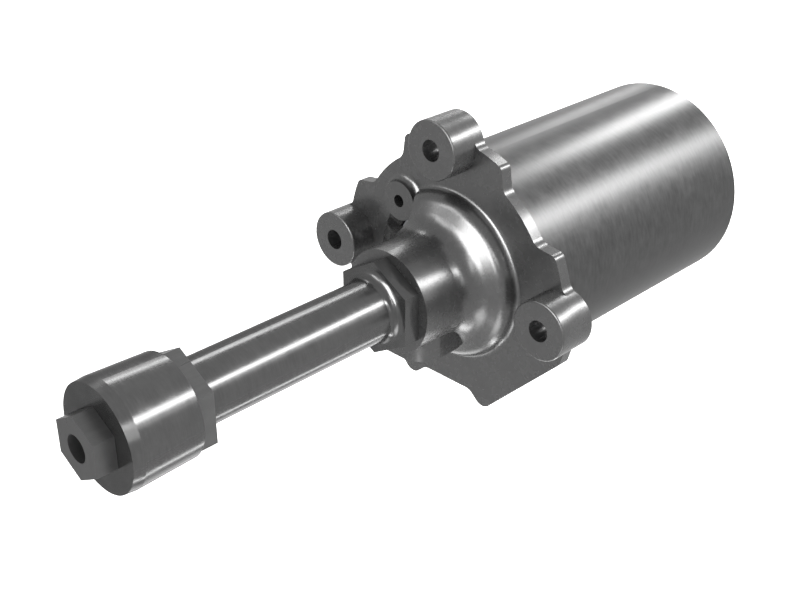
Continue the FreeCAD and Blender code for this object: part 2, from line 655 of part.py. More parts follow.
def piston_cup():
    """Cup packing with its lip towards the air side."""
    outer = CAN_INNER_R - RUNNING_GAP
    lip_x = CUP_X - CUP_LIP_LENGTH
    lip_inner = outer - CUP_T
    return turned([(PISTON_X, ROD_TAIL_R + STATIC_GAP), (PISTON_X, outer, EDGE_ROUND), (lip_x, outer),
                   (lip_x, outer - CUP_LIP_T), (CUP_X, lip_inner, CORNER_ROUND),
                   (CUP_X, ROD_TAIL_R + STATIC_GAP)])


def air_piston():
    """Aluminium piston with a ring groove and a pilot for the spring."""
    outer = CAN_INNER_R - PISTON_GAP
    bore = ROD_TAIL_R + STATIC_GAP
    body = turned([(PISTON_X, bore), (PISTON_X, outer, EDGE_ROUND), (PISTON_FRONT_X, outer, EDGE_ROUND),
                   (PISTON_FRONT_X, PISTON_PILOT_R), (PISTON_PILOT_X, PISTON_PILOT_R, EDGE_ROUND),
                   (PISTON_PILOT_X, bore)])
    return body.cut(ring(outer - GUIDE_RING_T, outer + GROOVE_OVERCUT, GUIDE_GROOVE_X,
                         GUIDE_GROOVE_X + GUIDE_RING_WIDTH))


def piston_guide_ring():
    """Low-friction ring that keeps the piston off the tube."""
    outer = CAN_INNER_R - RUNNING_GAP
    inner = CAN_INNER_R - PISTON_GAP - GUIDE_RING_T + STATIC_GAP
    return ring(inner, outer, GUIDE_GROOVE_X + STATIC_GAP, GUIDE_GROOVE_X + GUIDE_RING_WIDTH - STATIC_GAP)


def push_rod():
    """Hard chromed rod, stepped at both ends, that joins the piston to the plunger."""
    tip_x = PLUNGER_X + ROD_TIP_LENGTH
    return turned([(NUT_X, 0), (NUT_X, ROD_TAIL_R, SMALL_ROUND), (PISTON_PILOT_X, ROD_TAIL_R),
                   (PISTON_PILOT_X, ROD_R), (PLUNGER_X, ROD_R), (PLUNGER_X, ROD_TIP_R), (tip_x, ROD_TIP_R),
                   (tip_x, 0)])


def piston_nut():
    """Hexagon nut on the rod's tail."""
    return hexagon(NUT_AF, NUT_X, CLAMP_PLATE_X).cut(rod(ROD_TAIL_R + STATIC_GAP, NUT_X, CLAMP_PLATE_X))


def plunger_head():
    """Steel plunger head that slides in the barrel's bore."""
    outer = BARREL_BORE_R - RUNNING_GAP
    body = turned([(PLUNGER_X, 0), (PLUNGER_X, outer, SMALL_ROUND), (PLUNGER_FRONT_X, outer, SMALL_ROUND),
                   (PLUNGER_FRONT_X, 0)])
    body = body.cut(rod(ROD_TIP_R + STATIC_GAP, PLUNGER_X, PLUNGER_X + ROD_TIP_LENGTH))
    tapping = rod(CUP_SCREW_SHANK_R + STATIC_GAP, PLUNGER_X + ROD_TIP_LENGTH, PLUNGER_FRONT_X)
    return body.cut(tapping)


def plunger_cup():
    """Rubber pressure cup with its lip towards the outlet."""
    outer = BARREL_BORE_R - RUNNING_GAP
    base_x = PLUNGER_FRONT_X + PLUNGER_CUP_T
    return turned([(PLUNGER_FRONT_X, CUP_SCREW_SHANK_R + STATIC_GAP), (PLUNGER_FRONT_X, outer, SMALL_ROUND),
                   (PLUNGER_CUP_FRONT_X, outer), (PLUNGER_CUP_FRONT_X, outer - PLUNGER_CUP_LIP_T),
                   (base_x, CUP_SCREW_HEAD_R + SMALL_ROUND), (base_x, CUP_SCREW_SHANK_R + STATIC_GAP)])


def cup_screw():
    """Screw that holds the cup on the plunger head."""
    base_x = PLUNGER_FRONT_X + PLUNGER_CUP_T
    head_x = base_x + CUP_SCREW_HEAD_T
    tail_x = PLUNGER_X + ROD_TIP_LENGTH
    return turned([(tail_x, 0), (tail_x, CUP_SCREW_SHANK_R), (base_x, CUP_SCREW_SHANK_R),
                   (base_x, CUP_SCREW_HEAD_R), (head_x, CUP_SCREW_HEAD_R, SMALL_ROUND), (head_x, 0)])


PIECES = [
    front_cover, air_chamber_can, rear_end_plate, end_plate_weld, air_inlet_bung, can_seal_ring,
    hydraulic_barrel, barrel_seal_ring, barrel_lock_nut, outlet_housing, valve_seat_ring,
    residual_valve_poppet, residual_valve_spring, outlet_fitting, fitting_seal_ring, rod_bush, rod_seal,
    gland_snap_ring, spring_seat_ring, return_spring, stop_ring, cup_clamp_plate, piston_cup, air_piston,
    piston_guide_ring, push_rod, piston_nut, plunger_head, plunger_cup, cup_screw,
]


def main():
    os.makedirs("parts", exist_ok=True)
    for piece in PIECES:
        shape = piece()
        print(piece.__name__, shape.ShapeType, len(shape.Solids), shape.isValid(), round(shape.Volume, 1))
        shape.exportStep("parts/" + piece.__name__ + ".step")


main()
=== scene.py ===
"""Air-over-hydraulic cylinder: finishes, weld bead, port threads, springs and studio.

Everything is in metres. X runs along the cylinder towards the outlet, Z is up, and the origin lies
on the axis in the plane of the three mounting boss faces.
"""

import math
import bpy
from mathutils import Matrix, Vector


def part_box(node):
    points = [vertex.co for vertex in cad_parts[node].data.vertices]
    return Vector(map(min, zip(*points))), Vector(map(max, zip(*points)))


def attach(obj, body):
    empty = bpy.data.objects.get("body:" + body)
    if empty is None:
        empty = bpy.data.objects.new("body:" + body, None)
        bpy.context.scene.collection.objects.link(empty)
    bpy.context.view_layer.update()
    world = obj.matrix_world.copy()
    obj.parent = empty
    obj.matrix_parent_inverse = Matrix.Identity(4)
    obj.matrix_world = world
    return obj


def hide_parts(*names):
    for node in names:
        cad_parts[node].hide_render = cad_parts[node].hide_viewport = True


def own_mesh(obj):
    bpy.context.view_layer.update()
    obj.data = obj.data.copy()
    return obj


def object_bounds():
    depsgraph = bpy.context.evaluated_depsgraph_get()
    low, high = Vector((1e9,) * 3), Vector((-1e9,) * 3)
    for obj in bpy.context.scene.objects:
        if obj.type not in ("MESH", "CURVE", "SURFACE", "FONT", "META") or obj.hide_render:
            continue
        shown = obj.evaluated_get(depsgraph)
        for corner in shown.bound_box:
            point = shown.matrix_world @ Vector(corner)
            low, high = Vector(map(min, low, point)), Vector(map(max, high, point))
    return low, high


bl_info = {
    "name": "Air-over-hydraulic cylinder",
    "version": (1, 0, 0),
    "blender": (4, 5, 0),
    "location": "3D View > Sidebar > Cylinder",
    "description": "Finishes, weld bead, threads, springs and studio for an air-over-hydraulic cylinder",
    "category": "Object",
}

import bpy
import numpy as np
from bpy.props import FloatProperty, FloatVectorProperty, PointerProperty
from mathutils import Euler, Matrix, Vector

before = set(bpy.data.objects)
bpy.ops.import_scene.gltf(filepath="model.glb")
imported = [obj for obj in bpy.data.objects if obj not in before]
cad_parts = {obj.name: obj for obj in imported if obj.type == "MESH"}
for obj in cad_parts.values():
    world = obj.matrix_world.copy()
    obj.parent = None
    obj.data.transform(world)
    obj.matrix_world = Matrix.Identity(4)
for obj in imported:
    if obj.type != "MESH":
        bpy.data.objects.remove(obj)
CAD_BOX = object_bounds()
SCENE = bpy.context.scene
MM = 0.001

# Points in one turn of a thread or a spring, and round a spring's wire.
TURN_POINTS = 48
WIRE_POINTS = 12
# Points along one ripple of the weld, and across its bead.
RIPPLE_POINTS = 8
BEAD_POINTS = 9
# Colour sockets of a Mix node: the inputs A and B, and the result.
MIX_A, MIX_B, MIX_RESULT = 6, 7, 2
# Camera, worked out from the photograph's perspective: its place, the azimuth that it stands at and
# how far it looks down, in degrees.
CAMERA_PLACE = (0.28801, 0.27259, 0.20662)
CAMERA_AZIMUTH = 44.944
CAMERA_TILT = 28.355


def linear(code):
    """sRGB hex colour to the linear values that Blender's colour sockets take."""
    values = [int(code[i:i + 2], 16) / 255 for i in (1, 3, 5)]
    return tuple(v / 12.92 if v <= 0.04045 else ((v + 0.055) / 1.055) ** 2.4 for v in values)


def colour(name, code, description):
    """Colour property whose default is a hex code."""
    return FloatVectorProperty(name=name, description=description, subtype="COLOR", size=3, min=0, max=1,
                               default=linear(code))


def span(name, millimetres, description):
    """Length property whose default is given in millimetres."""
    return FloatProperty(name=name, description=description, unit="LENGTH", precision=5, min=0,
                         default=millimetres * MM)


def roughness(name, value, description):
    """Roughness property between 0 and 1."""
    return FloatProperty(name=name, description=description, subtype="FACTOR", min=0, max=1, default=value)


class FinishSettings(bpy.types.PropertyGroup):
    """Colours, gloss and grain of the outer metals."""
    cast_colour: colour("Cast iron", "#525252", "Tumbled and zinc plated cast iron of the cover")
    cast_roughness: roughness("Cast roughness", 0.27, "Gloss of the tumbled casting")
    cast_grain: span("Cast grain", 2.4, "Width of the soft dimples that tumbling leaves")
    tube_colour: colour("Drawn tube", "#474747", "Drawn steel of the air chamber")
    tube_roughness: roughness("Tube roughness", 0.33, "Gloss of the drawn tube")
    tube_scuff: span("Scuff width", 1.1, "Width of the faint scuffs that run round the tube")
    ground_colour: colour("Ground steel", "#4f4f4f", "Centreless ground steel of barrel and housing")
    ground_roughness: roughness("Ground roughness", 0.2, "Gloss of the ground steel")
    ground_line: span("Grinding line", 0.35, "Spacing of the grinding lines, drawn coarse enough to show")
    milled_colour: colour("Milled steel", "#515151", "Milled flats of the hexagons")
    milled_roughness: roughness("Milled roughness", 0.3, "Gloss of the milled flats")
    cutter_line: span("Cutter line", 0.9, "Spacing of the tool's lines, drawn coarse enough to show")


class InsideSettings(bpy.types.PropertyGroup):
    """Colours of the pieces inside."""
    chrome_colour: colour("Hard chrome", "#d0d1d4", "Chromed push rod")
    aluminium_colour: colour("Aluminium", "#c9cacc", "Turned aluminium of the air piston")
    bronze_colour: colour("Bronze", "#a07a48", "Sintered bronze of the rod's bush")
    brass_colour: colour("Brass", "#c2a25c", "Turned brass of the valve's poppet")
    plate_colour: colour("Machined steel", "#8b8c8e", "Plates, nut and screw")
    rubber_colour: colour("Rubber", "#1c1c1d", "Nitrile rubber of the cups and seals")
    strip_colour: colour("Guide strip", "#a08c6a", "Filled fluoropolymer of the guide ring")


class WeldSettings(bpy.types.PropertyGroup):
    """Colour and size of the weld bead at the back of the air chamber."""
    bead_colour: colour("Weld steel", "#4c4c4c", "Brushed steel of the bead")
    bead_rise: span("Bead rise", 0.16, "How far the bead swells over the flat fillet")
    ripple_pitch: span("Ripple pitch", 1.5, "Distance between two ripples along the bead")
    ripple_height: span("Ripple height", 0.12, "Height of one ripple")


class ThreadSettings(bpy.types.PropertyGroup):
    """Colour, size and place of the tapped threads in the two ports for pipes."""
    thread_colour: colour("Cut steel", "#646466", "Freshly cut flanks of the threads")
    air_pitch: span("Air thread pitch", 1.41, "Pitch of the air inlet's thread, 18 to the inch")
    air_radius: span("Air thread radius", 5.6, "Radius of the air inlet's hole")
    air_length: span("Air thread length", 7.2, "Length of the air inlet's thread")
    air_start: span("Air thread start", 1.0, "How far inside the bung's face the thread starts")
    supply_pitch: span("Supply thread pitch", 0.94, "Pitch of the supply port's thread, 27 to the inch")
    supply_radius: span("Supply thread radius", 4.4, "Radius of the supply port's hole")
    supply_length: span("Supply thread length", 6.6, "Length of the supply port's thread")
    supply_start: span("Supply thread start", 13.9, "How far below the axis the thread starts")
    supply_place: span("Supply port place", 10.0, "How far from the boss faces the port lies")
    depth_share: FloatProperty(name="Thread depth", subtype="FACTOR", min=0, max=1, default=0.42,
                               description="Depth of the thread as a share of its pitch")


class SpringSettings(bpy.types.PropertyGroup):
    """Wire of the two springs, and how far their loose ends travel."""
    wire_colour: colour("Spring wire", "#4b4d52", "Oil-tempered wire of springs and snap ring")
    return_wire: span("Return spring wire", 1.6, "Radius of the return spring's wire")
    return_turns: FloatProperty(name="Return spring turns", description="Turns of the return spring",
                                min=3, default=8.0)
    ram_stroke: span("Ram stroke", 70.0, "Travel of the air piston")
    valve_wire: span("Valve spring wire", 0.4, "Radius of the valve spring's wire")
    valve_turns: FloatProperty(name="Valve spring turns", description="Turns of the valve spring",
                               min=3, default=5.0)
    valve_lift: span("Valve lift", 2.0, "Travel of the valve's poppet")


class StageSettings(bpy.types.PropertyGroup):
    """Floor, camera and studio lamps."""
    floor_colour: colour("Floor", "#f4f4f4", "Pale floor")
    floor_glow: FloatProperty(name="Floor glow", description="Glow that lifts the floor to white",
                              min=0, max=1, default=0.45)
    floor_reach: span("Floor reach", 6000.0, "Half the width of the floor")
    floor_drop: span("Floor drop", 260.0, "How far the floor lies below the part, which hangs free")
    sky: FloatProperty(name="Room light", description="Strength of the even light of the room", min=0,
                       default=1.0)
    lamp: FloatProperty(name="Lamp strength", description="Factor on all the lamps", min=0, default=1.0)
    lens: FloatProperty(name="Lens", description="Focal length on a 36 mm wide sensor", min=1, default=55.47)


def add_node(tree, kind, settings=None, links=None, **inputs):
    """Adds one node, sets its fields and inputs, and links inputs from (node, output) pairs."""
    node = tree.nodes.new(kind)
    for key, value in (settings or {}).items():
        setattr(node, key, value)
    for key, value in inputs.items():
        node.inputs[key.replace("_", " ")].default_value = value
    for key, (source, output) in (links or {}).items():
        tree.links.new(source.outputs[output], node.inputs[key])
    return node


def new_material(name):
    """Empty node material."""
    material = bpy.data.materials.new(name)
    material.use_nodes = True
    material.node_tree.nodes.clear()
    return material, material.node_tree


def metal(name, tint, rough, grain, stretch=(1, 1, 1), bump=0.02, mottling=0.05, mottle_size=12.0,
          wear=0.15, skin=0.0, edge=1.0, wave=0.0, rings=False):
    """Metal with a fine grain in its relief and gloss, and soft mottling in its tone.

    grain is the width of one grain in metres and stretch lengthens it along an axis; bump is the
    height of the grain in millimetres; mottle_size is the width of the mottling in millimetres. wear
    is how far gloss varies with both; skin is the share of a thin oxide skin, which scatters light so
    that hollows stay grey; edge is the shine at a glancing view, lower on steel that has dulled; wave
    is the height in millimetres of slow unevenness one and a half mottles wide; rings turns the grain
    into rings round the X axis, one grain apart, as a lathe leaves them.
    """
    material, tree = new_material(name)
    place = add_node(tree, "ShaderNodeTexCoord")
    if rings:
        # A ring texture of scale 1 repeats every pi / 10.
        fine = add_node(tree, "ShaderNodeTexWave", {"wave_type": "RINGS", "rings_direction": "X"},
                        {"Vector": (place, "Object")}, Scale=math.pi / (10 * grain), Distortion=1.5,
                        Detail=1.0, Detail_Scale=0.4)
    else:
        grained = add_node(tree, "ShaderNodeMapping", links={"Vector": (place, "Object")},
                           Scale=[1 / (grain * s) for s in stretch])
        fine = add_node(tree, "ShaderNodeTexNoise", links={"Vector": (grained, "Vector")},
                        Scale=1.0, Detail=1.0)
    broad = add_node(tree, "ShaderNodeTexNoise", links={"Vector": (place, "Object")},
                     Scale=1 / (mottle_size * MM), Detail=4.0, Roughness=0.6)
    patchy = add_node(tree, "ShaderNodeMath", {"operation": "ADD"}, {0: (broad, "Fac"), 1: (fine, "Fac")})
    tone = add_node(tree, "ShaderNodeMapRange", links={"Value": (patchy, "Value")},
                    From_Min=0.6, From_Max=1.4, To_Min=1 - mottling, To_Max=1 + mottling)
    shade = add_node(tree, "ShaderNodeMix", {"data_type": "RGBA", "blend_type": "MULTIPLY"},
                     {MIX_B: (tone, "Result")}, Factor=1.0)
    shade.inputs[MIX_A].default_value = (*tint, 1)
    gloss = add_node(tree, "ShaderNodeMapRange", links={"Value": (patchy, "Value")},
                     From_Min=0.5, From_Max=1.5, To_Min=rough * (1 - wear), To_Max=rough * (1 + wear))
    slow = add_node(tree, "ShaderNodeTexNoise", links={"Vector": (place, "Object")},
                    Scale=1 / (1.5 * mottle_size * MM), Detail=0.0)
    uneven = add_node(tree, "ShaderNodeBump", links={"Height": (slow, "Fac")},
                      Strength=1.0, Distance=wave * MM)
    relief = add_node(tree, "ShaderNodeBump", links={"Height": (fine, "Fac"), "Normal": (uneven, "Normal")},
                      Strength=1.0, Distance=bump * MM)
    shader = add_node(tree, "ShaderNodeBsdfPrincipled",
                      links={"Base Color": (shade, MIX_RESULT), "Roughness": (gloss, "Result"),
                             "Normal": (relief, "Normal")},
                      Metallic=1.0 - skin, Specular_Tint=(edge, edge, edge, 1))
    add_node(tree, "ShaderNodeOutputMaterial", links={"Surface": (shader, "BSDF")})
    return material


def soft(name, tint, rough, grain, bump=0.02):
    """Moulded rubber or plastic: no shine of metal, a fine grain left by the mould."""
    material, tree = new_material(name)
    place = add_node(tree, "ShaderNodeTexCoord")
    fine = add_node(tree, "ShaderNodeTexNoise", links={"Vector": (place, "Object")},
                    Scale=1 / grain, Detail=2.0)
    relief = add_node(tree, "ShaderNodeBump", links={"Height": (fine, "Fac")},
                      Strength=1.0, Distance=bump * MM)
    gloss = add_node(tree, "ShaderNodeMapRange", links={"Value": (fine, "Fac")},
                     To_Min=rough * 0.85, To_Max=min(1.0, rough * 1.1))
    shader = add_node(tree, "ShaderNodeBsdfPrincipled",
                      links={"Normal": (relief, "Normal"), "Roughness": (gloss, "Result")})
    shader.inputs["Base Color"].default_value = (*tint, 1)
    add_node(tree, "ShaderNodeOutputMaterial", links={"Surface": (shader, "BSDF")})
    return material


def dress(material, *nodes):
    """Gives a finish to CAD nodes."""
    for name in nodes:
        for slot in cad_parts[name].material_slots:
            slot.material = material


def surface_piece(name, points, material, close_u=False, close_v=False):
    """Mesh from a grid of points (rows u, columns v), all its faces made as whole arrays.

    Face (i, j) joins the points (i, j), (i+1, j), (i+1, j+1), (i, j+1), so that the outside is where
    the u direction crossed with the v direction points.
    """
    rows, columns = points.shape[:2]
    i = np.arange(rows if close_u else rows - 1)[:, None]
    j = np.arange(columns if close_v else columns - 1)[None, :]
    after_i, after_j = (i + 1) % rows, (j + 1) % columns
    corners = [i * columns + j, after_i * columns + j, after_i * columns + after_j, i * columns + after_j]
    faces = np.stack([np.broadcast_to(c, np.broadcast_shapes(i.shape, j.shape)).ravel() for c in corners], 1)
    mesh = bpy.data.meshes.new(name)
    mesh.from_pydata(points.reshape(-1, 3).tolist(), [], faces.tolist())
    mesh.polygons.foreach_set("use_smooth", np.ones(len(faces), bool))
    mesh.materials.append(material)
    mesh.update()
    piece = bpy.data.objects.new(name, mesh)
    SCENE.collection.objects.link(piece)
    return piece


class CYLINDER_OT_cast_cover(bpy.types.Operator):
    """Finish of the cast cover"""
    bl_idname = "cylinder.cast_cover"
    bl_label = "Cast cover"

    def execute(self, context):
        s = context.scene.cylinder_finish
        # Tumbled cast iron: soft dimples and slow unevenness make the highlights swim.
        cast = metal("tumbled_cast_iron", s.cast_colour, s.cast_roughness, s.cast_grain,
                     bump=0.004, mottling=0.06, mottle_size=9.0, wear=0.10, skin=0.35, edge=0.8, wave=0.5)
        dress(cast, "front_cover")
        return {"FINISHED"}


class CYLINDER_OT_air_chamber(bpy.types.Operator):
    """Finish of the air chamber's tube and end plate"""
    bl_idname = "cylinder.air_chamber"
    bl_label = "Air chamber"

    def execute(self, context):
        s = context.scene.cylinder_finish
        # Drawn tube: faint scuffs that run round it and blotches break up the broad highlights.
        tube = metal("drawn_steel_tube", s.tube_colour, s.tube_roughness, s.tube_scuff,
                     stretch=(1, 4, 4), bump=0.0004, mottling=0.2, mottle_size=7.0, wear=0.14, skin=0.25,
                     edge=0.65)
        # Turned disc: the tool's rings give the back a satin sheen.
        turned = metal("turned_steel_disc", s.milled_colour, s.milled_roughness, s.cutter_line,
                       bump=0.002, mottling=0.14, mottle_size=9.0, wear=0.1, skin=0.3, rings=True)
        dress(tube, "air_chamber_can")
        dress(turned, "rear_end_plate", "air_inlet_bung")
        return {"FINISHED"}


class CYLINDER_OT_weld_bead(bpy.types.Operator):
    """Rippled fillet weld between the tube and the end plate"""
    bl_idname = "cylinder.weld_bead"
    bl_label = "Weld bead"

    def execute(self, context):
        s = context.scene.cylinder_weld
        low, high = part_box("end_plate_weld")
        depth = high.x - low.x
        width = 2 * depth
        outer = high.z
        # The flat fillet faces back along X and towards the axis, in these shares.
        back, inward = 0.9, 0.45
        # How far the ripples trail in the middle of the bead, as an angle of one ripple.
        trail = 0.9
        ripples = round(2 * math.pi * outer / s.ripple_pitch)
        # Bead: round the axis by angle u; across it by v the point goes from the tube's wall to the
        # disc on a straight fillet, swollen by a sine arch and by ripples that trail like scales.
        u = np.linspace(0, 2 * np.pi, ripples * RIPPLE_POINTS, endpoint=False)[:, None]
        v = np.linspace(0, 1, BEAD_POINTS)[None, :]
        arch = np.sin(np.pi * v)
        ripple = np.abs(np.sin(ripples * u / 2 + trail * arch))
        swell = arch * (s.bead_rise - s.ripple_height * (1 - ripple))
        x = low.x + depth * v - swell * back
        radius = outer - width * v - swell * inward
        across = np.stack([x + 0 * u, radius * np.cos(u), radius * np.sin(u)], 2)
        root = np.stack([high.x + 0 * u, outer * np.cos(u), outer * np.sin(u)], 2)
        points = np.concatenate([across, root], 1)
        # Brushed weld: dull grey with a fine tooth.
        steel = metal("weld_steel", s.bead_colour, 0.34, 0.6 * MM, bump=0.01, skin=0.15)
        piece = surface_piece("weld_bead", points[:, ::-1], steel, close_u=True, close_v=True)
        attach(piece, "housing")
        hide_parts("end_plate_weld")
        return {"FINISHED"}


class CYLINDER_OT_port_threads(bpy.types.Operator):
    """Tapped threads in the air inlet and in the supply port"""
    bl_idname = "cylinder.port_threads"
    bl_label = "Port threads"

    def thread(self, name, radius, pitch, start, length, place, material):
        """Helical ridge inside a hole: at turn angle u its crest stands in from the wall by the depth.

        Across the ridge, v runs from its foot over a narrow crest to its other foot and back through
        a root sunk in the wall. The crest fades into the wall over half a turn, and both ends shrink
        to a point, which closes the ridge. place turns (along, across, up) into a point.
        """
        depth = pitch * bpy.context.scene.cylinder_threads.depth_share
        turns = length / pitch - 1
        u = np.linspace(0, 2 * np.pi * turns, int(TURN_POINTS * turns))[:, None]
        fade = np.clip(np.minimum(u, u[-1] - u) / np.pi, 0, 1)
        # Half the ridge's width at foot and crest, and how deep its root is sunk, in ridge heights.
        foot = pitch * 0.42
        crest = foot * 0.15
        root = 0.25
        along = np.array([foot, crest, -crest, -foot, 0.0])[None, :]
        inward = np.array([0.0, 1.0, 1.0, 0.0, -root])[None, :]
        spread = np.ones(u.shape)
        spread[[0, -1]] = 0
        axial = start + pitch * u / (2 * np.pi) + foot + along * spread
        r = radius - depth * fade * inward
        points = place(axial + 0 * r, r * np.cos(u), r * np.sin(u))
        piece = surface_piece(name, points, material, close_v=True)
        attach(piece, "housing")
        return piece

    def execute(self, context):
        s = context.scene.cylinder_threads

        def along_axis(along, across, up):
            return np.stack([along, across, up], 2)

        def downwards(along, across, up):
            return np.stack([s.supply_place + across, -up, -along], 2)

        # Cut thread: bright sharp flanks inside the hole.
        steel = metal("cut_thread_steel", s.thread_colour, 0.25, 0.5 * MM, bump=0.003)
        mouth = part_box("air_inlet_bung")[0].x + s.air_start
        air = self.thread("air_inlet_thread", s.air_radius, s.air_pitch, mouth, s.air_length,
                          along_axis, steel)
        supply = self.thread("supply_thread", s.supply_radius, s.supply_pitch, s.supply_start,
                             s.supply_length, downwards, steel)
        return {"FINISHED"}


class CYLINDER_OT_hydraulic_side(bpy.types.Operator):
    """Finish of barrel, lock nut, outlet housing and outlet fitting"""
    bl_idname = "cylinder.hydraulic_side"
    bl_label = "Hydraulic side"

    def execute(self, context):
        s = context.scene.cylinder_finish
        # Centreless ground steel: hair-fine rings round the axis, so the streaks stay crisp.
        ground = metal("ground_steel", s.ground_colour, s.ground_roughness, s.ground_line,
                       stretch=(1, 12, 12), bump=0.0015, mottling=0.10, mottle_size=6.0, wear=0.4, skin=0.3,
                       edge=0.3, wave=0.02)
        # Milled flats: dull, even grey with the cutter's faint lines.
        milled = metal("milled_steel", s.milled_colour, s.milled_roughness, s.cutter_line,
                       stretch=(14, 1, 6), bump=0.003, mottling=0.08, mottle_size=7.0, skin=0.45, edge=0.3)
        dress(ground, "hydraulic_barrel", "outlet_housing")
        dress(milled, "barrel_lock_nut", "outlet_fitting")
        return {"FINISHED"}


class CYLINDER_OT_inside_pieces(bpy.types.Operator):
    """Finishes of the ram, valve, gland and seals"""
    bl_idname = "cylinder.inside_pieces"
    bl_label = "Inside pieces"

    def execute(self, context):
        s = context.scene.cylinder_inside
        # Hard chrome: mirror bright, almost no grain.
        chrome = metal("hard_chrome", s.chrome_colour, 0.08, 0.3 * MM, bump=0.0005, mottling=0.01)
        # Turned aluminium: pale, with the tool's rings.
        aluminium = metal("turned_aluminium", s.aluminium_colour, 0.32, 0.5 * MM, stretch=(1, 10, 10),
                          bump=0.003)
        # Sintered bronze: warm brown with open pores.
        bronze = metal("sintered_bronze", s.bronze_colour, 0.42, 0.3 * MM, bump=0.02, mottling=0.08)
        # Turned brass: yellow with the tool's rings.
        brass = metal("turned_brass", s.brass_colour, 0.25, 0.4 * MM, stretch=(1, 8, 8), bump=0.002)
        # Machined steel: plain grey with a fine tooth.
        plate = metal("machined_steel", s.plate_colour, 0.35, 0.5 * MM, bump=0.004)
        # Nitrile rubber: near black, matt.
        rubber = soft("nitrile_rubber", s.rubber_colour, 0.6, 0.5 * MM)
        # Filled fluoropolymer guide strip: tan and waxy.
        strip = soft("filled_fluoropolymer", s.strip_colour, 0.45, 0.4 * MM, bump=0.008)
        dress(chrome, "push_rod")
        dress(aluminium, "air_piston")
        dress(bronze, "rod_bush")
        dress(brass, "residual_valve_poppet")
        dress(plate, "spring_seat_ring", "cup_clamp_plate", "piston_nut", "plunger_head", "cup_screw")
        dress(rubber, "can_seal_ring", "barrel_seal_ring", "valve_seat_ring", "fitting_seal_ring",
              "rod_seal", "stop_ring", "piston_cup", "plunger_cup")
        dress(strip, "piston_guide_ring")
        return {"FINISHED"}


class CYLINDER_OT_springs(bpy.types.Operator):
    """Return spring and valve spring, coiled from wire"""
    bl_idname = "cylinder.springs"
    bl_label = "Springs"

    def coil(self, name, node, joint, wire, turns, travel, material):
        """Coil spring in the space of its CAD node.

        Angle u runs round the axis. The wire's centre climbs by its own thickness in the first turn
        and in the last, which lie flat on their seats, and evenly between them. Angle v runs round
        the wire: the point stands off the centre by the wire's radius, by cos v outwards and by
        sin v along the axis. One ring of no width at each end closes the wire.
        """
        low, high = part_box(node)
        length = high.x - low.x
        u = np.linspace(0, 2 * np.pi * turns, int(TURN_POINTS * turns))
        heights = [wire, 3 * wire, length - 3 * wire, length - wire]
        climb = np.interp(u / (2 * np.pi), [0, 1, turns - 1, turns], heights)
        u = np.concatenate([u[:1], u, u[-1:]])[:, None]
        climb = np.concatenate([climb[:1], climb, climb[-1:]])[:, None]
        thick = np.full(u.shape, wire)
        thick[[0, -1]] = 0
        v = np.linspace(0, 2 * np.pi, WIRE_POINTS, endpoint=False)[None, :]
        radius = high.z - wire + thick * np.cos(v)
        x = low.x + climb + thick * np.sin(v)
        points = np.stack([x, radius * np.cos(u), radius * np.sin(u)], 2)
        piece = surface_piece(name, points, material, close_v=True)
        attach(piece, "housing")
        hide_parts(node)
        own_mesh(piece)

    def execute(self, context):
        s = context.scene.cylinder_springs
        # Oil-tempered wire: dark blue-grey skin.
        steel = metal("oil_tempered_wire", s.wire_colour, 0.4, 0.8 * MM, bump=0.004, mottling=0.1)
        self.coil("coiled_return_spring", "return_spring", "ram_slide", s.return_wire, s.return_turns,
                  s.ram_stroke, steel)
        self.coil("coiled_valve_spring", "residual_valve_spring", "valve_slide", s.valve_wire, s.valve_turns,
                  s.valve_lift, steel)
        dress(steel, "return_spring", "residual_valve_spring", "gland_snap_ring")
        return {"FINISHED"}


